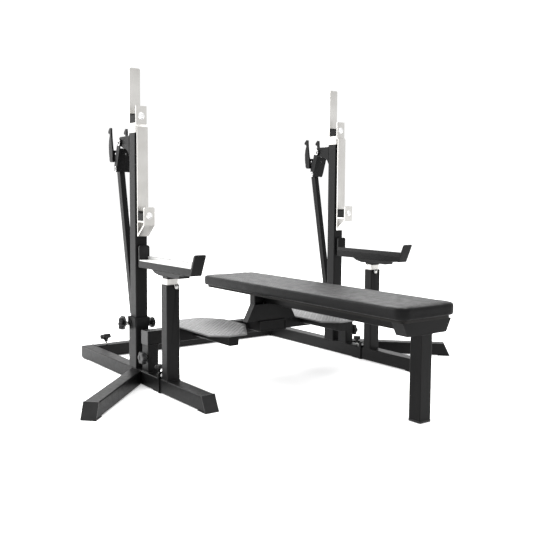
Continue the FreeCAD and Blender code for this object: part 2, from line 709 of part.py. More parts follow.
def bench_saddle():
    """Box bolted to the crossbeam that carries the rear bracket of the bench."""
    half = 75.0
    low = CROSS_TOP - 42
    seat = BRACKET_Z
    body = tube(-half, half, REAR_BRACKET_FRONT - 12, CROSS_FRONT, low, seat, 4.0, V(0, 1, 0), 4.0)
    face = box(-half + 4, half - 4, REAR_BRACKET_FRONT - 9, REAR_BRACKET_FRONT - 5,
               low + 4, seat - 4)
    bolts = [face]
    for x in (-45, 45):
        bolts.append(rod(V(x, REAR_BRACKET_FRONT + 26, seat - 2), V(0, 0, 1), 6, 11))
    return body.fuse(bolts).removeSplitter()


def on_the_right(shape):
    """The left spotter plate's parts set at the same hand on the right of the bench."""
    copy = shape.copy()
    copy.translate(V(TREAD_SHIFT, 0, 0))
    return copy


def tread_plate():
    outline = [(-x, y) for x, y in TREAD_OUTLINE]
    plate = prism(outline, "z", CROSS_TOP, TREAD_T)
    edges = [e for e in plate.Edges if e.BoundBox.ZLength > 1]
    return plate.makeFillet(14, edges)


def tread_arms():
    arm = tube(-TREAD_ARM_X[1], -TREAD_ARM_X[0], TREAD_ARM_FRONT, CROSS_FRONT,
               CROSS_TOP - TREAD_ARM_H, CROSS_TOP, 3.0, V(0, 1, 0))
    end = box(-TREAD_ARM_X[1] + 3, -TREAD_ARM_X[0] - 3, TREAD_ARM_FRONT, TREAD_ARM_FRONT + 4,
              CROSS_TOP - TREAD_ARM_H + 3, CROSS_TOP - 3)
    arm = arm.fuse(end).removeSplitter()
    return Part.makeCompound([arm, on_the_right(arm)])


# ---- bench --------------------------------------------------------------
def pad_slab(z0, z1, side_inset, end_inset, radius):
    half = PAD_W / 2 - side_inset
    slab = box(-half, half, PAD_FOOT + end_inset, PAD_FOOT + PAD_LENGTH - end_inset, z0, z1)
    return rounded(slab, radius, V(0, 0, 1))


def pad():
    slab = pad_slab(PAD_TOP - PAD_T, PAD_TOP, 0, 0, PAD_R)
    top_edges = [e for e in slab.Edges if e.BoundBox.ZMin > PAD_TOP - 0.01]
    return slab.makeFillet(8, top_edges)


def pad_board():
    low = PAD_TOP - PAD_T - BOARD_T
    return pad_slab(low, PAD_TOP - PAD_T, BOARD_INSET, BOARD_END_INSET, BOARD_R)


def spine():
    top = PAD_TOP - PAD_T - BOARD_T
    return tube(-SPINE_W / 2, SPINE_W / 2, LEG_REAR, REAR_BRACKET_FRONT + REAR_BRACKET_D + 40,
                SPINE_LOW, top, BASE_WALL, V(0, 1, 0), 4.0)


def rear_bracket():
    """Bent strip whose sides splay out below, with a front plate and a base plate."""
    top = PAD_TOP - PAD_T - BOARD_T
    y = REAR_BRACKET_FRONT
    outer = [(-140, BRACKET_Z), (140, BRACKET_Z), (100, 328), (100, top), (-100, top), (-100, 328)]
    inner = [(-133, BRACKET_Z + 5), (133, BRACKET_Z + 5), (95, 329), (95, top + 1),
             (-95, top + 1), (-95, 329)]
    strip = prism(outer, "y", y, REAR_BRACKET_D).cut(prism(inner, "y", y - 1, REAR_BRACKET_D + 2))
    face = prism([(-137, BRACKET_Z + 5), (137, BRACKET_Z + 5), (99, 328), (-99, 328)], "y", y, 5)
    shelf = box(-95, 95, y, y + REAR_BRACKET_D, 323, 328)
    back = box(-95, 95, y + REAR_BRACKET_D - 5, y + REAR_BRACKET_D, 328, top)
    back = back.cut(box(-SPINE_W / 2, SPINE_W / 2, y, y + 2 * REAR_BRACKET_D, SPINE_LOW, top))
    shape = strip.fuse([face, shelf, back])
    for x in (-45, 45):
        shape = shape.cut(rod(V(x, y + 26, BRACKET_Z - 1), V(0, 0, 1), 6.5, 20))
    return shape.removeSplitter()


def front_leg():
    """Square leg welded under a trapezoid box that carries the foot end of the bench."""
    top = PAD_TOP - PAD_T - BOARD_T
    y = LEG_REAR - LEG_W
    outer = [(-129, top), (129, top), (103, SPINE_LOW), (-103, SPINE_LOW)]
    inner = [(-123, top + 1), (123, top + 1), (100, SPINE_LOW + 4), (-100, SPINE_LOW + 4)]
    bracket = prism(outer, "y", y, LEG_W)
    bracket = bracket.cut(prism(inner, "y", y + 4, LEG_W - 4 + 1))
    leg = tube(-LEG_W / 2, LEG_W / 2, y, LEG_REAR, FOOT_H, SPINE_LOW, BASE_WALL, V(0, 0, 1), 4.0)
    return bracket.fuse(leg).removeSplitter()


def leg_foot():
    y = LEG_REAR - LEG_W
    return rounded(box(-LEG_W / 2 - 1, LEG_W / 2 + 1, y - 1, LEG_REAR + 1, 0, FOOT_H), 5,
                   V(0, 0, 1))


# ---- knobs that lock the base -------------------------------------------
def base_knob(side):
    point, direction = base_knob_axis(side)
    return lobed_knob(point + direction * 5, direction, 14, 26, radius=29, height=21)


def front_lock_knob():
    return lobed_knob(V(LEFT, LOCK_Y, BASE_TOP + 1), V(0, 0, 1), 12, 26, radius=19,
                      height=17, lobes=5)


# ---- writing ------------------------------------------------------------
def write(name, shape):
    moved = shape.copy()
    moved.translate(V(0, UPRIGHT_Y, 0))
    moved.exportStep("parts/" + name + ".step")
    good = "ok" if moved.isValid() else "NOT VALID"
    print(name, len(moved.Solids), good, round(moved.Volume / 1000.0, 1))


os.makedirs("parts", exist_ok=True)

sided = {
    "base_beam": base_beam, "front_foot": front_foot, "sleeve": sleeve,
    "front_post": front_post, "upright": upright, "cup_back_plate": cup_back_plate,
    "front_plate": front_plate, "cup_liners": cup_liners, "upright_bolts": upright_bolts,
    "lever_bar": lever_bar, "hook_yoke": hook_yoke, "lever_bolts": lever_bolts,
    "safety_post": safety_post, "safety_arm": safety_arm, "wear_strip": wear_strip,
    "clamp_knob": clamp_knob, "index_pin": index_pin, "arm_pin": arm_pin,
    "post_knob": post_knob, "front_lock_knob": front_lock_knob,
}
for name, make in sided.items():
    piece = make()
    write("left_" + name, piece)
    write("right_" + name, mirrored(piece))
write("left_tread_plate", tread_plate())
write("right_tread_plate", on_the_right(tread_plate()))

for side, label in ((-1, "left"), (1, "right")):
    write(label + "_base_knob", base_knob(side))

shared = {
    "rear_crossmember": rear_crossmember, "tube_end_caps": tube_end_caps,
    "rear_foot_pads": rear_foot_pads, "joint_flanges": joint_flanges,
    "crossbeam": crossbeam, "short_posts": short_posts, "bench_saddle": bench_saddle,
    "tread_arms": tread_arms, "pad": pad, "pad_board": pad_board, "spine": spine,
    "rear_bracket": rear_bracket, "front_leg": front_leg, "leg_foot": leg_foot,
}
for name, make in shared.items():
    write(name, make())
write("collars", both_sides(collar()))
write("outriggers", both_sides(outrigger()))
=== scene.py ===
import json
import math

import bmesh
import bpy
from mathutils import Matrix, Vector
from mathutils.bvhtree import BVHTree


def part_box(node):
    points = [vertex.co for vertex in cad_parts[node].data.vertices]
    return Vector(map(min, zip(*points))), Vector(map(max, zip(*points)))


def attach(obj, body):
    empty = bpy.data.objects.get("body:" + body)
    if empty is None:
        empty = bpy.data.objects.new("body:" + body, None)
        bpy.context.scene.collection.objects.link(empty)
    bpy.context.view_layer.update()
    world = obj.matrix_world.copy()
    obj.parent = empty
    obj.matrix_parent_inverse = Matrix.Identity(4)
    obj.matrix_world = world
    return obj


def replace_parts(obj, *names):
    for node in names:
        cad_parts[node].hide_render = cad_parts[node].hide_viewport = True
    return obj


# Competition bench press and squat rack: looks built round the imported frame.
# Metres, +Z up, +X across the rack, +Y towards the head end of the bench.

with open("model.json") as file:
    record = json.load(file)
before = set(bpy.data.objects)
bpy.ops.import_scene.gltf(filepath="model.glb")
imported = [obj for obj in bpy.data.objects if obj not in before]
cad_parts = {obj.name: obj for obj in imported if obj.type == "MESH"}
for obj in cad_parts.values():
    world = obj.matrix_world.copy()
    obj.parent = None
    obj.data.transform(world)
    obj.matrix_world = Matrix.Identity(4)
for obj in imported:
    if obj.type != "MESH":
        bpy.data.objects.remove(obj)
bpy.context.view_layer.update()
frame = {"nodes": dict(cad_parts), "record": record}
nodes = frame["nodes"]
joints = {row["name"]: row for row in frame["record"]["behaviour"]["joints"]}

SIDES = (("left", -1), ("right", 1))
MM = 0.001
X_AXIS = Vector((1, 0, 0))
Y_AXIS = Vector((0, 1, 0))
Z_AXIS = Vector((0, 0, 1))


# ---- materials ----------------------------------------------------------
class Graph:
    """A material under construction: a Principled shader and its node tree."""

    def __init__(self, name, **uniform):
        self.material = bpy.data.materials.new(name)
        self.material.use_nodes = True
        self.tree = self.material.node_tree
        self.shader = self.tree.nodes["Principled BSDF"]
        self.coords = self.tree.nodes.new("ShaderNodeTexCoord")
        for socket, value in uniform.items():
            self.shader.inputs[socket.replace("_", " ")].default_value = value

    def node(self, kind, **values):
        made = self.tree.nodes.new(kind)
        for key, value in values.items():
            setattr(made, key, value)
        return made

    def link(self, source, target):
        self.tree.links.new(source, target)

    def scaled(self, scale):
        """Object coordinates stretched by scale, three numbers."""
        mapping = self.node("ShaderNodeMapping")
        mapping.inputs["Scale"].default_value = scale
        self.link(self.coords.outputs["Object"], mapping.inputs["Vector"])
        return mapping.outputs["Vector"]

    def noise(self, scale, detail=3.0, stretch=(1, 1, 1)):
        texture = self.node("ShaderNodeTexNoise")
        texture.inputs["Scale"].default_value = scale
        texture.inputs["Detail"].default_value = detail
        self.link(self.scaled(stretch), texture.inputs["Vector"])
        return texture.outputs["Fac"]

    def cells(self, scale):
        texture = self.node("ShaderNodeTexVoronoi", feature="F1")
        texture.inputs["Scale"].default_value = scale
        self.link(self.coords.outputs["Object"], texture.inputs["Vector"])
        return texture.outputs["Distance"]

    def between(self, factor, low, high, start=0.3, end=0.7):
        """A number that runs from low to high as factor runs from start to end."""
        ramp = self.node("ShaderNodeMapRange")
        ramp.inputs["From Min"].default_value = start
        ramp.inputs["From Max"].default_value = end
        ramp.inputs["To Min"].default_value = low
        ramp.inputs["To Max"].default_value = high
        self.link(factor, ramp.inputs["Value"])
        return ramp.outputs["Result"]

    def tint(self, factor, low, high, start=0.3, end=0.7):
        """A colour that runs from low to high as factor runs from start to end."""
        ramp = self.node("ShaderNodeValToRGB")
        stops = ramp.color_ramp.elements
        stops[0].position, stops[1].position = start, end
        stops[0].color, stops[1].color = (*low, 1), (*high, 1)
        self.link(factor, ramp.inputs["Fac"])
        return ramp.outputs["Color"]

    def worn(self, colour, bright, amount):
        """Colour with its convex edges turned towards bright by up to amount."""
        geometry = self.node("ShaderNodeNewGeometry")
        edge = self.between(geometry.outputs["Pointiness"], 0.0, amount, 0.52, 0.60)
        mix = self.node("ShaderNodeMix", data_type="RGBA")
        self.link(edge, mix.inputs["Factor"])
        self.link(colour, mix.inputs["A"])
        mix.inputs["B"].default_value = (*bright, 1)
        return mix.outputs["Result"]

    def bump(self, height, strength, distance):
        bump = self.node("ShaderNodeBump")
        bump.inputs["Strength"].default_value = strength
        bump.inputs["Distance"].default_value = distance
        self.link(height, bump.inputs["Height"])
        self.link(bump.outputs["Normal"], self.shader.inputs["Normal"])

    def set(self, socket, source):
        self.link(source, self.shader.inputs[socket])


def powder_coat():
    """Satin black powder coat: fine orange peel, slightly rubbed edges."""
    g = Graph("powder_coat", Metallic=0.0, Specular_IOR_Level=0.10)
    coat = g.tint(g.noise(9.0, 4.0), (0.0021, 0.0021, 0.0022), (0.0036, 0.0036, 0.0038))
    g.set("Base Color", g.worn(coat, (0.03, 0.03, 0.03), 0.5))
    g.set("Roughness", g.between(g.noise(60.0, 3.0), 0.33, 0.42))
    g.bump(g.noise(1100.0, 2.0), 0.16, 0.0005)
    return g.material


def stainless():
    """Stainless plate brushed along its length, with faint handling marks."""
    g = Graph("stainless", Metallic=1.0)
    lines = g.noise(420.0, 4.0, stretch=(1, 1, 0.012))
    cloud = g.noise(6.0, 3.0)
    g.set("Base Color", g.tint(cloud, (0.49, 0.48, 0.46), (0.63, 0.62, 0.60)))
    g.set("Roughness", g.between(lines, 0.30, 0.42))
    g.bump(lines, 0.05, 0.0003)
    return g.material


def plated(name, dark, light):
    """Bright zinc or nickel plating on small fittings."""
    g = Graph(name, Metallic=1.0)
    g.set("Base Color", g.tint(g.cells(120.0), dark, light, 0.1, 0.8))
    g.set("Roughness", g.between(g.noise(300.0, 3.0), 0.22, 0.38))
    g.bump(g.noise(900.0), 0.05, 0.0003)
    return g.material


def moulded(name, dark, light, rough, shine=0.3):
    """Moulded plastic or rubber with a spark-eroded grain."""
    g = Graph(name, Metallic=0.0, Specular_IOR_Level=shine)
    g.set("Base Color", g.tint(g.noise(25.0, 3.0), dark, light))
    g.set("Roughness", g.between(g.noise(150.0, 2.0), rough - 0.06, rough + 0.06))
    g.bump(g.cells(900.0), 0.14, 0.0005)
    return g.material


def chequer():
    """Bare rolled plate, dull in the hollows and rubbed bright where feet stand."""
    g = Graph("chequer_plate", Metallic=0.3)
    scuff = g.noise(240.0, 4.0, stretch=(1, 0.15, 1))
    plate = g.tint(g.noise(14.0, 4.0), (0.045, 0.045, 0.046), (0.078, 0.078, 0.079))
    g.set("Base Color", g.worn(plate, (0.31, 0.31, 0.31), 0.9))
    g.set("Roughness", g.between(scuff, 0.34, 0.52))
    g.bump(scuff, 0.12, 0.0004)
    return g.material


def vinyl():
    """Grained black upholstery vinyl."""
    g = Graph("vinyl", Metallic=0.0, Specular_IOR_Level=0.12)
    grain = g.cells(560.0)
    crease = g.noise(1300.0, 3.0)
    cloud = g.noise(6.0, 3.0)
    g.set("Base Color", g.tint(cloud, (0.0020, 0.0020, 0.0022), (0.0035, 0.0035, 0.0038)))
    g.set("Roughness", g.between(g.noise(35.0, 3.0), 0.40, 0.50))
    total = g.node("ShaderNodeMath", operation="ADD")
    g.link(grain, total.inputs[0])
    g.link(crease, total.inputs[1])
    g.bump(total.outputs[0], 0.30, 0.0006)
    return g.material


def board_paint():
    """Plywood painted black, with the fibre showing through."""
    g = Graph("board", Metallic=0.0, Specular_IOR_Level=0.2)
    fibre = g.noise(90.0, 4.0, stretch=(1, 0.05, 1))
    g.set("Base Color", g.tint(fibre, (0.006, 0.0055, 0.005), (0.013, 0.012, 0.011)))
    g.set("Roughness", g.between(fibre, 0.55, 0.75))
    g.bump(fibre, 0.3, 0.0006)
    return g.material


def stitch_thread():
    """Twisted polyester sewing thread."""
    g = Graph("thread", Metallic=0.0, Specular_IOR_Level=0.3)
    twist = g.noise(900.0, 2.0, stretch=(1, 0.3, 1))
    g.set("Base Color", g.tint(twist, (0.012, 0.012, 0.012), (0.03, 0.03, 0.03)))
    g.set("Roughness", g.between(twist, 0.5, 0.7))
    g.bump(twist, 0.4, 0.0003)
    return g.material


look = {
    "powder_coat": powder_coat(),
    "stainless": stainless(),
    "zinc": plated("zinc", (0.50, 0.50, 0.49), (0.66, 0.66, 0.64)),
    "bolt_steel": plated("bolt_steel", (0.74, 0.74, 0.74), (0.90, 0.90, 0.90)),
    "black_plastic": moulded("black_plastic", (0.006, 0.006, 0.006), (0.011, 0.011, 0.0115),
                             0.42),
    "liner_plastic": moulded("liner_plastic", (0.0025, 0.0025, 0.0025), (0.005, 0.005, 0.005),
                             0.55, 0.10),
    "rubber_pads": moulded("rubber", (0.008, 0.008, 0.008), (0.013, 0.013, 0.013), 0.80, 0.2),
    "wear_plastic": moulded("wear_plastic", (0.52, 0.52, 0.51), (0.62, 0.62, 0.61), 0.38, 0.4),
    "chequer_plate": chequer(),
    "pad_cover": vinyl(),
    "board": board_paint(),
}
thread = stitch_thread()


def paint(obj, material):
    obj.data.materials.clear()
    obj.data.materials.append(material)


EDGE_ROUND = 0.0008      # every sharp edge of a CAD part is broken by this much
EDGE_ANGLE = 38          # degrees; a flatter edge counts as part of a curved face
MERGE_REACH = 0.00002


def ease_edges(obj):
    """Break the sharp edges of a CAD part with live modifiers; its mesh stays as it is."""
    weld = obj.modifiers.new("weld", "WELD")
    weld.merge_threshold = MERGE_REACH
    bevel = obj.modifiers.new("ease", "BEVEL")
    bevel.width = EDGE_ROUND
    bevel.segments = 2
    bevel.limit_method = "ANGLE"
    bevel.angle_limit = math.radians(EDGE_ANGLE)
    bevel.use_clamp_overlap = True


slot_of = {row["node"]: row["material_slot"] for row in frame["record"]["subparts"]}
for name, obj in nodes.items():
    paint(obj, look[slot_of[name]])
    ease_edges(obj)


# ---- mesh helpers -------------------------------------------------------
def piece(bm, name, body, slot, material=None, sharp=32):
    """Turn a bmesh into a finished piece on a body. Edges over sharp degrees stay crisp."""
    mesh = bpy.data.meshes.new(name)
    bmesh.ops.recalc_face_normals(bm, faces=bm.faces)
    bm.to_mesh(mesh)
    bm.free()
    mesh.polygons.foreach_set("use_smooth", [True] * len(mesh.polygons))
    mesh.set_sharp_from_angle(angle=math.radians(sharp))
    obj = bpy.data.objects.new(name, mesh)
    bpy.context.scene.collection.objects.link(obj)
    paint(obj, material or look[slot])
    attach(obj, body)
    return obj


def round_outline(angle):
    return 1.0


def hex_outline(angle):
    """Hexagon whose flats are at radius 1."""
    sector = math.pi / 3
    return 1.0 / math.cos((angle % sector) - sector / 2)


def square_outline(angle):
    """Square with rounded corners, its flats at radius 1."""
    power = 10
    c, s = abs(math.cos(angle)), abs(math.sin(angle))
    return 1.0 / (c ** power + s ** power) ** (1 / power)


def lobed_outline(lobes):
    """Star knob outline with round lobes and narrower hollows."""
    def outline(angle):
        wave = 0.5 + 0.5 * math.cos(lobes * angle)
        return 0.80 + 0.20 * wave ** 0.55
    return outline


def turned(bm, rows, place, direction, outline=round_outline, segments=48, spin=0.0):
    """Add a closed turned shape. A row is (radius mm, height mm, share of the outline)."""
    turn = Vector(direction).to_track_quat("Z", "Y").to_matrix()
    rings = []
    for radius, height, share in rows:
        ring = []
        for i in range(segments):
            angle = 2 * math.pi * i / segments
            r = radius * (1 + share * (outline(angle) - 1)) * MM
            local = Vector((r * math.cos(angle + spin), r * math.sin(angle + spin), height * MM))
            ring.append(bm.verts.new(Vector(place) + turn @ local))
        rings.append(ring)
    for low, high in zip(rings, rings[1:]):
        for i in range(segments):
            j = (i + 1) % segments
            bm.faces.new((low[i], low[j], high[j], high[i]))
    bm.faces.new(rings[0][::-1])
    bm.faces.new(rings[-1])


def swept(bm, points, radius_at, sides=8, closed=True):
    """Add a round bead along a list of points. radius_at gives its radius at a point number."""
    count = len(points)
    rings = []
    for i, point in enumerate(points):
        before = points[i - 1] if closed or i else points[0]
        after = points[(i + 1) % count] if closed or i + 1 < count else points[-1]
        run = (after - before).normalized()
        across = run.orthogonal() if abs(run.z) > 0.9 else run.cross(Z_AXIS)
        across.normalize()
        up = run.cross(across)
        ring = []
        for k in range(sides):
            angle = 2 * math.pi * k / sides
            offset = across * math.cos(angle) + up * math.sin(angle)
            ring.append(bm.verts.new(point + offset * radius_at(i)))
        rings.append(ring)
    last = count if closed else count - 1
    for i in range(last):
        low, high = rings[i], rings[(i + 1) % count]
        for k in range(sides):
            j = (k + 1) % sides
            bm.faces.new((low[k], low[j], high[j], high[k]))
    if not closed:
        bm.faces.new(rings[0][::-1])
        bm.faces.new(rings[-1])


def path_along(corners, step, closed=True):
    """Evenly spaced points along straight runs between corners."""
    points = []
    ends = corners[1:] + corners[:1] if closed else corners[1:]
    for start, end in zip(corners, ends):
        parts = max(1, round((end - start).length / step))
        for i in range(parts):
            points.append(start.lerp(end, i / parts))
    if not closed:
        points.append(corners[-1])
    return points


# ---- knobs --------------------------------------------------------------
def knob_rows(radius, bare, neck, height):
    """Profile of a moulded star knob with a dished cap, in millimetres."""
    top = neck + height
    return [(radius * 0.30, bare, 0), (radius * 0.33, (bare + neck) / 2, 0),
            (radius * 0.50, neck - 1.4, 0.3), (radius * 0.84, neck, 1),
            (radius * 0.95, neck + 1.2, 1), (radius, neck + 4, 1), (radius, top - 5, 1),
            (radius * 0.97, top - 2.4, 1),
            (radius * 0.88, top - 0.7, 1), (radius * 0.76, top, 0.9), (radius * 0.46, top, 0.2),
            (radius * 0.42, top - 1.4, 0), (radius * 0.40, top - 1.8, 0),
            (radius * 0.10, top - 1.2, 0)]


def thread_rows(radius, reach, top, pitch):
    """Profile of a threaded stud from -reach, behind the knob's root, up to top."""
    rows = []
    turns = int((reach + top) / pitch)
    for i in range(turns):
        foot = -reach + i * pitch
        rows += [(radius * 0.86, foot, 0), (radius, foot + pitch * 0.5, 0)]
    rows.append((radius * 0.86, top, 0))
    return rows


KNOBS = {                # radius, bare stud, neck, height, reach, lobes; millimetres
    "clamp_knob": (32.0, 3.0, 14.0, 22.0, 15.0, 7),
    "post_knob": (29.0, 2.0, 9.0, 20.0, 11.0, 6),
    "base_knob": (29.0, 15.0, 31.0, 21.0, 9.0, 6),
    "front_lock_knob": (19.0, 9.0, 26.0, 17.0, 11.0, 5),
}
STUD_RADIUS = 4.9        # millimetres, as are the next two
STUD_PITCH = 1.5
INDEX_GRIP_HIGH = 17
INDEX_FLUTES = 12        # a count
ARM_PIN_UP = 7 * MM      # the arm pin's axis above the bottom of its box
RING_FORWARD = 13.7 * MM   # the pull ring's groove in front of the pin's root
RING_RADIUS = 10 * MM
RING_BOW = 0.4 * MM      # the bottom of the ring stands this far forward
RING_WIRE = 1.1 * MM     # the wire's radius


def star_knob(side, kind):
    radius, bare, neck, height, reach, lobes = KNOBS[kind]
    name = side + "_" + kind
    joint = joints[name + "_turn"]
    place, direction = joint["pos_m"], joint["axis"]
    head = bmesh.new()
    turned(head, knob_rows(radius, bare, neck, height), place, direction, lobed_outline(lobes), 84)
    grip = piece(head, name + "_grip", name, "black_plastic", sharp=50)
    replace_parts(grip, name)
    steel = bmesh.new()
    turned(steel, thread_rows(STUD_RADIUS, reach, bare + 1, STUD_PITCH), place, direction,
           segments=32)
    turned(steel, [(8.5, 0.2, 0), (8.5, 1.6, 0), (8.0, 2.0, 0)], place, direction)
    piece(steel, name + "_stud", name, "zinc", sharp=50)


def index_pin(side, sign):
    """Sprung pull pin: a fluted grip on its plunger."""
    name = side + "_index_pin"
    low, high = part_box(name)
    y, z = (low.y + high.y) / 2, (low.z + high.z) / 2
    outward = Vector((-sign, 0, 0))
    tip = Vector((high.x if sign > 0 else low.x, y, z))
    base = (high.x - low.x) / MM - INDEX_GRIP_HIGH
    grip = bmesh.new()
    rows = [(9, base - 2, 0), (10, base, 0), (22.5, base + 0.8, 1), (24, base + 3, 1),
            (24, base + 13, 1), (22.5, base + 16, 1),
            (14, base + INDEX_GRIP_HIGH, 0.3), (3, base + 16.6, 0)]
    turned(grip, rows, tip, outward, lobed_outline(INDEX_FLUTES), 96)
    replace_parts(piece(grip, name + "_grip", name, "black_plastic", sharp=50), name)
    steel = bmesh.new()
    turned(steel, [(3.6, 0, 0), (5, 1.6, 0), (5, base, 0)], tip, outward, segments=32)
    piece(steel, name + "_plunger", name, "zinc")


def arm_pin(side):
    """Detent pin with a turned head and a slightly bowed wire ring to pull it by."""
    name = side + "_arm_pin"
    low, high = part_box(name)
    x = (low.x + high.x) / 2
    root = Vector((x, high.y, low.z + ARM_PIN_UP))
    steel = bmesh.new()
    rows = [(3.2, 0, 0), (4, 0.8, 0), (4, 9, 0), (7, 9.6, 0), (7, 12, 0), (5.4, 13, 0),
            (5.4, 14.4, 0), (7, 15.4, 0), (7, 16.8, 0), (6.2, 17.4, 0)]
    turned(steel, rows, root, -Y_AXIS)
    ring_y = high.y - RING_FORWARD
    ring = []
    for i in range(40):
        angle = 2 * math.pi * i / 40
        ring.append(Vector((x + RING_RADIUS * math.sin(angle),
                            ring_y - RING_BOW * math.sin(angle / 2),
                            root.z + RING_RADIUS + RING_RADIUS * math.cos(angle))))
    swept(steel, ring, lambda i: RING_WIRE)
    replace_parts(piece(steel, name + "_steel", name, "zinc"), name)


# ---- bolts --------------------------------------------------------------
UPPER_LIP_BACK = 0.068   # the upper cup's lip stands this far behind the lower one's
UPPER_BOLT_Z = 1.166
LOWER_BOLT_Z = 0.738
STOP_BACK = 0.033        # the lever's stop pin stands this far in front of the pivot
PIVOT_HEAD = 14.0        # washer and head of the lever's pivot bolt, millimetres
LEVER_HEAD = 13.0        # the same for the lever's lower bolt
UPPER_BOLT_R = 15.0      # millimetres, as are the rest
LOWER_BOLT_R = 14.0
SPACER_START = 13        # from the middle of the lever bar to each spacer tube
SPACER_SHORT = 18.4      # a spacer tube is this much shorter than the bolt's reach
FLANGE_BOLT_X = 18       # either side of the base tube's middle
FLANGE_FACE = 6          # from the middle of the joint to each washer
FLANGE_BOLT_UP = 14      # above the top of the base tube
BRACKET_BOLT_X = 110
BRACKET_FOOT = 5         # thickness of the rear bracket's feet
BOARD_BOLT_X = 70


def washer_rows(radius, start=0.0):
    return [(radius - 0.4, start, 0), (radius, start + 0.4, 0), (radius, start + 1.6, 0),
            (radius - 0.4, start + 2.0, 0)]


def hex_head_rows(flat, start, height):
    """Hexagon head: a bearing ring, flats, and a turned chamfer on top."""
    return [(flat * 0.96, start, 0), (flat, start + 0.4, 1), (flat, start + height - 1.4, 1),
            (flat * 0.98, start + height - 0.5, 0.35), (flat * 0.90, start + height, 0),
            (flat * 0.5, start + height - 0.3, 0)]


def button_head_rows(radius, height, socket):
    """Low domed head with a hexagon socket."""
    rows = []
    for i in range(7):
        angle = math.pi / 2 * i / 7
        rows.append((radius * math.cos(angle * 0.72), height * math.sin(angle) * 0.98, 0))
    rows += [(socket * 1.12, height, 0), (socket, height - 0.5, 1), (socket, height * 0.35, 1),
             (socket * 0.3, height * 0.25, 0)]
    return rows


def through_bolt(bm, place, reach, flat, shank, tall):
    """Bolt along X: reach to each washer, which carries a hexagon of a given height."""
    turned(bm, [(shank, -reach / MM, 0), (shank, reach / MM, 0)], place, X_AXIS, segments=32)
    for sign in (-1, 1):
        end = Vector(place) + X_AXIS * sign * reach
        turned(bm, washer_rows(flat * 1.28), end, X_AXIS * sign)
        turned(bm, hex_head_rows(flat, 2.0, tall - 3.6), end, X_AXIS * sign, hex_outline, 48, 0.2)
        turned(bm, [(shank * 0.9, 2, 0), (shank * 0.9, tall - 0.6, 0), (shank * 0.7, tall, 0)],
               end, X_AXIS * sign, segments=24)


def upright_bolts(side):
    """Lip bolts of the two cups, the lever's pivot bolt and the lever's stop pin."""
    name = side + "_upright_bolts"
    body = side + "_upright"
    low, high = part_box(name)
    x = (low.x + high.x) / 2
    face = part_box(side + "_front_plate")[0].y
    pivot = joints[side + "_lever_hinge"]["pos_m"]
    bm = bmesh.new()
    upper = Vector((x, face + UPPER_LIP_BACK, UPPER_BOLT_Z))
    lower = Vector((x, face, LOWER_BOLT_Z))
    for place, radius in ((upper, UPPER_BOLT_R), (lower, LOWER_BOLT_R)):
        turned(bm, washer_rows(radius + 0.6, -0.6), place, -Y_AXIS)
        turned(bm, [(r, h + 1.4, s) for r, h, s in button_head_rows(radius - 1.5, 5.0, 4.5)],
               place, -Y_AXIS, hex_outline, 60)
    through_bolt(bm, pivot, (high.x - low.x) / 2 - PIVOT_HEAD * MM, 11.2, 8.0, PIVOT_HEAD)
    stop = Vector((x, pivot[1] - STOP_BACK, STUB_Z[1]))
    turned(bm, [(3, 0, 0), (3, 24, 0), (2.4, 27, 0), (1.2, 28, 0)], stop, Z_AXIS, segments=24)
    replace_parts(piece(bm, name + "_set", body, "bolt_steel"), name)


def lever_bolts(side):
    """The lever's lower bolt and the two spacer tubes on it."""
    name = side + "_lever_bolts"
    low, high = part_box(name)
    centre = (low + high) / 2
    reach = (high.x - low.x) / 2 - LEVER_HEAD * MM
    bm = bmesh.new()
    through_bolt(bm, centre, reach, 10.4, 6.0, LEVER_HEAD)
    for way in (-1, 1):
        inner = centre + X_AXIS * way * SPACER_START * MM
        turned(bm, [(9, 0, 0), (9, reach / MM - SPACER_SHORT, 0)], inner, X_AXIS * way)
    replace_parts(piece(bm, name + "_set", side + "_lever", "bolt_steel"), name)


def small_bolts():
    """Visible bolt heads on the flanges, the rear bracket and under the pad's board."""
    bm = bmesh.new()
    low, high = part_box("joint_flanges")
    flange_y = (low.y + high.y) / 2
    beam_low, beam_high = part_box("left_base_beam")
    for _, sign in SIDES:
        x = sign * (beam_low.x + beam_high.x) / -2
        for dx in (-FLANGE_BOLT_X, FLANGE_BOLT_X):
            for way in (-1, 1):
                place = Vector((x + dx * MM, flange_y + way * FLANGE_FACE * MM,
                                beam_high.z + FLANGE_BOLT_UP * MM))
                turned(bm, washer_rows(9.5), place, Y_AXIS * way)
                turned(bm, hex_head_rows(7.2, 2.0, 5.4), place, Y_AXIS * way, hex_outline, 48)
    piece(bm, "flange_bolt_heads", "base", "bolt_steel")
    bm = bmesh.new()
    bracket_low, bracket_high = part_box("rear_bracket")
    for x in (-BRACKET_BOLT_X, BRACKET_BOLT_X):
        place = Vector((x * MM, (bracket_low.y + bracket_high.y) / 2,
                        bracket_low.z + BRACKET_FOOT * MM))
        turned(bm, washer_rows(11.0), place, Z_AXIS)
        turned(bm, hex_head_rows(8.2, 2.0, 6.0), place, Z_AXIS, hex_outline, 48)
    board_low, board_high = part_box("pad_board")
    for y in (board_low.y + 0.20, board_high.y - 0.30):
        for x in (-BOARD_BOLT_X, BOARD_BOLT_X):
            place = Vector((x * MM, y, board_low.z))
            turned(bm, [(13, 0, 0), (13, 1.2, 0), (11, 1.8, 0)], place, -Z_AXIS)
            turned(bm, button_head_rows(6.5, 5.2, 2.6), place, -Z_AXIS, hex_outline, 48)
    piece(bm, "bench_bolt_heads", "bench", "bolt_steel")


# ---- weld beads ---------------------------------------------------------
BEAD_STEP = 0.0016
TREAD_ARM_W = 0.048
SHORT_POST_W = 0.050
LEG_HALF = 0.0285
STUB_ROOT = 0.0895       # from the lever's pivot forward to the rear face of the upright
STUB_Z = (1.000, 1.084)
SOCKET_HIGH = 9 * MM     # the block between the inner post and the safety arm's tube


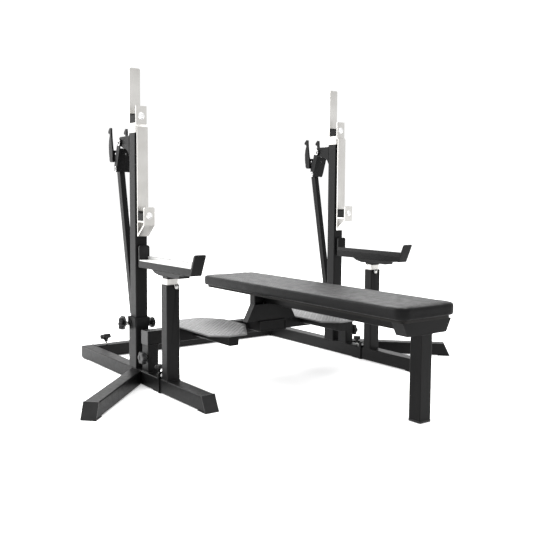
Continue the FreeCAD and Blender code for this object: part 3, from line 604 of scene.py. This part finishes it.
def weld_bead(bm, corners, radius=0.0026):
    """A closed ripple-faced fillet along a loop of corners."""
    points = path_along(corners, BEAD_STEP)

    def ripple(i):
        return radius * (0.86 + 0.14 * math.sin(i * 1.9) + 0.05 * math.sin(i * 0.37))
    swept(bm, points, ripple, 7)


def loop_round(low, high, axis, level):
    """Corners of the rectangle low..high in the plane where axis is at level."""
    a, b = [k for k in range(3) if k != axis]
    corners = []
    for u, v in ((low[a], low[b]), (high[a], low[b]), (high[a], high[b]), (low[a], high[b])):
        corner = Vector((0, 0, 0))
        corner[axis], corner[a], corner[b] = level, u, v
        corners.append(corner)
    return corners


def weld_beads():
    base = bmesh.new()
    for side, sign in SIDES:
        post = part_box(side + "_front_post")
        weld_bead(base, loop_round(*post, 2, post[0].z))
        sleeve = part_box(side + "_sleeve")
        weld_bead(base, loop_round(*sleeve, 2, sleeve[0].z))
        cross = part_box("rear_crossmember")
        end = cross[1].x if sign > 0 else cross[0].x
        weld_bead(base, loop_round(*cross, 0, end))
        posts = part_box("short_posts")
        outer, inner = sorted((sign * posts[1].x, sign * (posts[1].x - SHORT_POST_W)))
        low = Vector((outer, posts[0].y, posts[0].z))
        high = Vector((inner, posts[1].y, posts[1].z))
        weld_bead(base, loop_round(low, high, 2, low.z))
        weld_bead(base, loop_round(low, high, 2, high.z))
    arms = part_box("tread_arms")
    for x in (arms[0].x, arms[1].x - TREAD_ARM_W):
        low = Vector((x, arms[0].y, arms[0].z))
        high = Vector((x + TREAD_ARM_W, arms[1].y, arms[1].z - 1 * MM))
        weld_bead(base, loop_round(low, high, 1, arms[1].y))
    piece(base, "frame_welds", "base", "powder_coat", sharp=80)

    bench = bmesh.new()
    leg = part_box("leg_foot")
    low = Vector((-LEG_HALF, leg[0].y + 2 * MM, 0))
    high = Vector((LEG_HALF, leg[1].y - 2 * MM, 0))
    weld_bead(bench, loop_round(low, high, 2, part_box("spine")[0].z))
    piece(bench, "bench_welds", "bench", "powder_coat", sharp=80)

    for side, _ in SIDES:
        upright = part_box(side + "_upright")
        rear = joints[side + "_lever_hinge"]["pos_m"][1] - STUB_ROOT
        bm = bmesh.new()
        low = Vector((upright[0].x + 1 * MM, rear, STUB_Z[0]))
        high = Vector((upright[1].x - 1 * MM, rear, STUB_Z[1]))
        weld_bead(bm, loop_round(low, high, 1, rear))
        piece(bm, side + "_stub_weld", side + "_upright", "powder_coat", sharp=80)
        arm = bmesh.new()
        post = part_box(side + "_safety_post")
        weld_bead(arm, loop_round(*post, 2, post[1].z + SOCKET_HIGH), 0.002)
        piece(arm, side + "_arm_weld", side + "_safety_arm", "powder_coat", sharp=80)


# ---- tube plugs ---------------------------------------------------------
BEAM_PLUG = 58 * MM
BEAM_PLUG_IN = 3.4 * MM  # from the tube's end in to the plug's cap
SPINE_PLUG = 46 * MM
SPINE_PLUG_IN = 3 * MM


def plug(name, body, centre, direction, size):
    """Ribbed-in plastic plug: a low rounded square cap over a tube's open end."""
    half = size / 2 / MM
    bm = bmesh.new()
    rows = [(half - 3.4, -9, 1), (half - 3.2, 0, 1), (half - 0.3, 0.05, 1), (half - 0.3, 1.6, 1),
            (half - 1.6, 2.9, 1), (half - 5, 3.4, 1), (half * 0.3, 3.5, 1)]
    turned(bm, rows, centre, direction, square_outline, 96)
    piece(bm, name, body, "black_plastic", sharp=40)


def plugs():
    for side, _ in SIDES:
        low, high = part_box(side + "_base_beam")
        centre = (low + high) / 2
        plug(side + "_beam_plug", "base", (centre.x, high.y - BEAM_PLUG_IN, centre.z), Y_AXIS,
             BEAM_PLUG)
    low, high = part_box("spine")
    plug("spine_plug", "bench", (0, high.y - SPINE_PLUG_IN, (low.z + high.z) / 2), Y_AXIS,
         SPINE_PLUG)


# ---- spotter plates -----------------------------------------------------
LOZENGE_PITCH = 0.0215
LOZENGE_LONG = 0.0092
LOZENGE_WIDE = 0.0048
LOZENGE_HIGH = 0.0017
LOZENGE_SINK = 0.0002    # its foot reaches this far into the plate
LOZENGE_TAPER = 0.62     # its top against its foot


def lozenge(bm, x, y, z, tilt):
    """One raised bar of the chequer pattern, pointed at both ends."""
    ring_low, ring_high = [], []
    count = 10
    for i in range(count):
        angle = 2 * math.pi * i / count
        u = LOZENGE_LONG * math.cos(angle)
        v = LOZENGE_WIDE * math.sin(angle) * abs(math.sin(angle)) ** 0.35
        across = Vector((u * math.cos(tilt) - v * math.sin(tilt),
                         u * math.sin(tilt) + v * math.cos(tilt), 0))
        ring_low.append(bm.verts.new(Vector((x, y, z - LOZENGE_SINK)) + across))
        ring_high.append(bm.verts.new(Vector((x, y, z + LOZENGE_HIGH)) + across * LOZENGE_TAPER))
    for i in range(count):
        j = (i + 1) % count
        bm.faces.new((ring_low[i], ring_low[j], ring_high[j], ring_high[i]))
    bm.faces.new(ring_high)
    bm.faces.new(ring_low[::-1])


def tread_pattern(side):
    """Raised lozenges in alternate directions wherever the plate is under them."""
    name = side + "_tread_plate"
    low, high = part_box(name)
    tree = BVHTree.FromObject(nodes[name], bpy.context.evaluated_depsgraph_get())
    bm = bmesh.new()
    columns = int((high.x - low.x) / LOZENGE_PITCH)
    rows = int((high.y - low.y) / LOZENGE_PITCH)
    start_x = (low.x + high.x - columns * LOZENGE_PITCH) / 2
    start_y = (low.y + high.y - rows * LOZENGE_PITCH) / 2
    for i in range(columns + 1):
        for k in range(rows + 1):
            x, y = start_x + i * LOZENGE_PITCH, start_y + k * LOZENGE_PITCH
            covered = True
            for dx, dy in ((1, 1), (1, -1), (-1, 1), (-1, -1)):
                probe = Vector((x + dx * LOZENGE_LONG, y + dy * LOZENGE_LONG, high.z + 0.05))
                covered = covered and tree.ray_cast(probe, -Z_AXIS, 0.06)[0] is not None
            if covered:
                tilt = math.radians(45 if (i + k) % 2 else -45)
                lozenge(bm, x, y, high.z, tilt)
    piece(bm, side + "_tread_pattern", "base", "chequer_plate", sharp=20)


# ---- pad ----------------------------------------------------------------
PAD_CORNER = 0.042
PAD_W_HALF = 0.150       # about half of the pad's width
PAD_SLACK = -0.0028      # the foam's sides start this far in, because the cover pulls them in
PAD_VOXEL = 0.006
PAD_CAP = 0.0030         # how far the cloth may move a point
CLOTH_FRAMES = 20
HELD_BAND = 0.002        # the cloth is held this far up from the board
SEAM_DOWN = 0.010        # the seam lies this far below the pad's top
SEAM_START = -0.004      # the rays that find the cover start this far outside the pad
SEAM_REACH = 0.03
SEAM_SINK = 0.0004
SEAM_RADIUS = 0.0008
STITCH_STEP = 0.0035
STITCH_DROP = -0.0032    # the stitches lie below the seam
THREAD_RADIUS = 0.00045


def pad_outline(low, high, inset, steps=10):
    """Points round a rectangle with round corners."""
    radius = PAD_CORNER - inset
    points = []
    corners = ((high.x, high.y, 0), (low.x, high.y, 90), (low.x, low.y, 180), (high.x, low.y, 270))
    for x, y, start in corners:
        cx = x - math.copysign(PAD_CORNER, x - (low.x + high.x) / 2)
        cy = y - math.copysign(PAD_CORNER, y - (low.y + high.y) / 2)
        for i in range(steps + 1):
            angle = math.radians(start + 90 * i / steps)
            points.append((cx + radius * math.cos(angle), cy + radius * math.sin(angle)))
    return points


def pad_block(low, high):
    """Closed foam block with softened top and bottom edges."""
    levels = ((0.0, 5.0), (1.5, 2.0), (4.5, 0.4), (10.0, 0.0), (34.0, 0.0), (40.0, 0.5),
              (43.5, 2.0), (45.2, 4.8))
    bm = bmesh.new()
    rings = []
    for height, inset in levels:
        outline = pad_outline(low, high, PAD_SLACK + inset * MM)
        rings.append([bm.verts.new((x, y, low.z + height * MM)) for x, y in outline])
    count = len(rings[0])
    for below, above in zip(rings, rings[1:]):
        for i in range(count):
            j = (i + 1) % count
            bm.faces.new((below[i], below[j], above[j], above[i]))
    bm.faces.new(rings[0][::-1])
    bm.faces.new(rings[-1])
    return piece(bm, "bench_pad", "bench", "pad_cover", sharp=180)


def applied(obj):
    """Replace the object's mesh with its modified mesh and drop the modifiers."""
    depsgraph = bpy.context.evaluated_depsgraph_get()
    mesh = bpy.data.meshes.new_from_object(obj.evaluated_get(depsgraph))
    obj.modifiers.clear()
    obj.data = mesh


def inflate(obj, floor_z):
    """Cloth pressure swells the cover; points stay within PAD_CAP of where they began."""
    start = [v.co.copy() for v in obj.data.vertices]
    held = obj.vertex_groups.new(name="held")
    held.add([v.index for v in obj.data.vertices if v.co.z < floor_z + HELD_BAND], 1.0, "REPLACE")
    cloth = obj.modifiers.new("cloth", "CLOTH")
    settings = cloth.settings
    settings.use_pressure = True
    settings.uniform_pressure_force = 4.0
    settings.effector_weights.gravity = 0.0
    settings.vertex_group_mass = "held"
    settings.tension_stiffness = 30.0
    settings.compression_stiffness = 30.0
    settings.bending_stiffness = 2.0
    scene = bpy.context.scene
    for step in range(1, CLOTH_FRAMES + 1):
        scene.frame_set(step)
    depsgraph = bpy.context.evaluated_depsgraph_get()
    swollen = obj.evaluated_get(depsgraph).data
    moved = [v.co.copy() for v in swollen.vertices]
    obj.modifiers.clear()
    obj.vertex_groups.clear()
    for vertex, old, new in zip(obj.data.vertices, start, moved):
        shift = new - old
        if shift.length > PAD_CAP:
            shift *= PAD_CAP / shift.length
        vertex.co = old + shift
        vertex.co.z = max(vertex.co.z, floor_z)
    scene.frame_set(1)


def smooth_twice(obj):
    relax = obj.modifiers.new("relax", "SMOOTH")
    relax.factor = 0.5
    relax.iterations = 6
    fine = obj.modifiers.new("fine", "SUBSURF")
    fine.levels = fine.render_levels = 1
    applied(obj)


def make_pad():
    low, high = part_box("pad")
    obj = pad_block(low, high)
    remesh = obj.modifiers.new("remesh", "REMESH")
    remesh.mode = "VOXEL"
    remesh.voxel_size = PAD_VOXEL
    remesh.use_smooth_shade = True
    applied(obj)
    inflate(obj, low.z)
    smooth_twice(obj)
    paint(obj, look["pad_cover"])
    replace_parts(obj, "pad")
    return obj


def pad_seam(pad):
    """Stitched seam round the pad just below its top edge, following the cover."""
    low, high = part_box("pad")
    tree = BVHTree.FromObject(pad, bpy.context.evaluated_depsgraph_get())
    middle = Vector((0, 0, high.z - SEAM_DOWN))
    outline = [Vector((x, y, middle.z)) for x, y in pad_outline(low, high, SEAM_START, 8)]
    path = path_along(outline, STITCH_STEP)
    surface = []
    for point in path:
        spine_y = min(max(point.y, low.y + PAD_W_HALF), high.y - PAD_W_HALF)
        inward = (Vector((0, spine_y, middle.z)) - point).normalized()
        hit = tree.ray_cast(point, inward, SEAM_REACH)[0]
        surface.append((hit or point) + inward * SEAM_SINK)
    seam = bmesh.new()
    swept(seam, surface, lambda i: SEAM_RADIUS, 6)
    piece(seam, "pad_seam", "bench", "pad_cover", sharp=80)
    stitches = bmesh.new()
    for i in range(0, len(surface) - 1, 2):
        start, end = surface[i], surface[i + 1]
        drop = Z_AXIS * STITCH_DROP
        swept(stitches, path_along([start + drop, end + drop], 0.002, False),
              lambda k: THREAD_RADIUS, 5, False)
    piece(stitches, "pad_stitches", "bench", "pad_cover", thread, sharp=80)


# ---- building -----------------------------------------------------------
for side, sign in SIDES:
    for kind in KNOBS:
        star_knob(side, kind)
    index_pin(side, sign)
    arm_pin(side)
    upright_bolts(side)
    lever_bolts(side)
    tread_pattern(side)
small_bolts()
weld_beads()
plugs()
pad_seam(make_pad())


# ---- stage --------------------------------------------------------------
FLOOR_GLOW = 0.30        # a lightbox floor: it glows enough to take out the shadows
FLOOR_HALF = 30.0
WORLD_STRENGTH = 1.04
LIGHTS = (               # name, place, target, size in metres, power in watts
    ("side", (-3.2, 4.2, 1.5), (0, 0, 0.7), (5.0, 3.4), 84),
    ("floor_glow", (-2.7, 2.8, 2.6), (-2.6, 2.7, 0), (3.0, 3.0), 260),
    ("back", (2.8, 4.0, 3.6), (0, 0, 0.5), (4.0, 2.2), 190),
    ("top", (0, -0.3, 4.5), (0, 0, 0.5), (4.0, 4.0), 110),
)


def make_floor():
    mesh = bpy.data.meshes.new("floor")
    half = FLOOR_HALF
    mesh.from_pydata([(-half, -half, 0), (half, -half, 0), (half, half, 0), (-half, half, 0)],
                     [], [(0, 1, 2, 3)])
    obj = bpy.data.objects.new("floor", mesh)
    bpy.context.scene.collection.objects.link(obj)
    g = Graph("floor_paint", Metallic=0.0, Roughness=0.85, Specular_IOR_Level=0.1,
              Emission_Color=(1, 1, 1, 1), Emission_Strength=FLOOR_GLOW)
    g.set("Base Color", g.tint(g.noise(0.8, 2.0), (0.93, 0.93, 0.93), (0.95, 0.95, 0.95)))
    paint(obj, g.material)


def area_light(name, place, target, size, power):
    data = bpy.data.lights.new(name, "AREA")
    data.shape = "RECTANGLE"
    data.size, data.size_y = size
    data.energy = power
    obj = bpy.data.objects.new(name, data)
    obj.location = place
    obj.rotation_mode = "QUATERNION"
    obj.rotation_quaternion = (Vector(target) - Vector(place)).to_track_quat("-Z", "Y")
    bpy.context.scene.collection.objects.link(obj)


def make_world(strength):
    world = bpy.data.worlds.new("studio")
    world.use_nodes = True
    shade = world.node_tree.nodes["Background"]
    shade.inputs["Color"].default_value = (1.0, 1.0, 1.0, 1)
    shade.inputs["Strength"].default_value = strength
    bpy.context.scene.world = world


CAMERA_AT = Vector((-2.0589, -2.6681, 0.8278))
CAMERA_YAW = math.radians(35.94)
CAMERA_PITCH = math.radians(4.78)
CAMERA_ROLL = math.radians(0.307)
CAMERA_LENS = 50.22
CAMERA_SHIFT = (0.0118, -0.0167)


def make_camera():
    """Camera at the viewing place, from its yaw, pitch, roll and lens."""
    ahead = Vector((math.sin(CAMERA_YAW) * math.cos(CAMERA_PITCH),
                    math.cos(CAMERA_YAW) * math.cos(CAMERA_PITCH), -math.sin(CAMERA_PITCH)))
    level = ahead.cross(Z_AXIS).normalized()
    above = level.cross(ahead)
    right = level * math.cos(CAMERA_ROLL) + above * math.sin(CAMERA_ROLL)
    up = right.cross(ahead)
    data = bpy.data.cameras.new("camera")
    data.sensor_width = 36.0
    data.lens = CAMERA_LENS
    data.shift_x, data.shift_y = CAMERA_SHIFT
    data.clip_end = 100.0
    obj = bpy.data.objects.new("camera", data)
    turn = Matrix((right, up, -ahead)).transposed().to_4x4()
    obj.matrix_world = Matrix.Translation(CAMERA_AT) @ turn
    bpy.context.scene.collection.objects.link(obj)
    bpy.context.scene.camera = obj


make_floor()
make_world(WORLD_STRENGTH)
for light in LIGHTS:
    area_light(*light)
make_camera()

bpy.context.scene.view_settings.view_transform = "Standard"

bpy.context.view_layer.update()
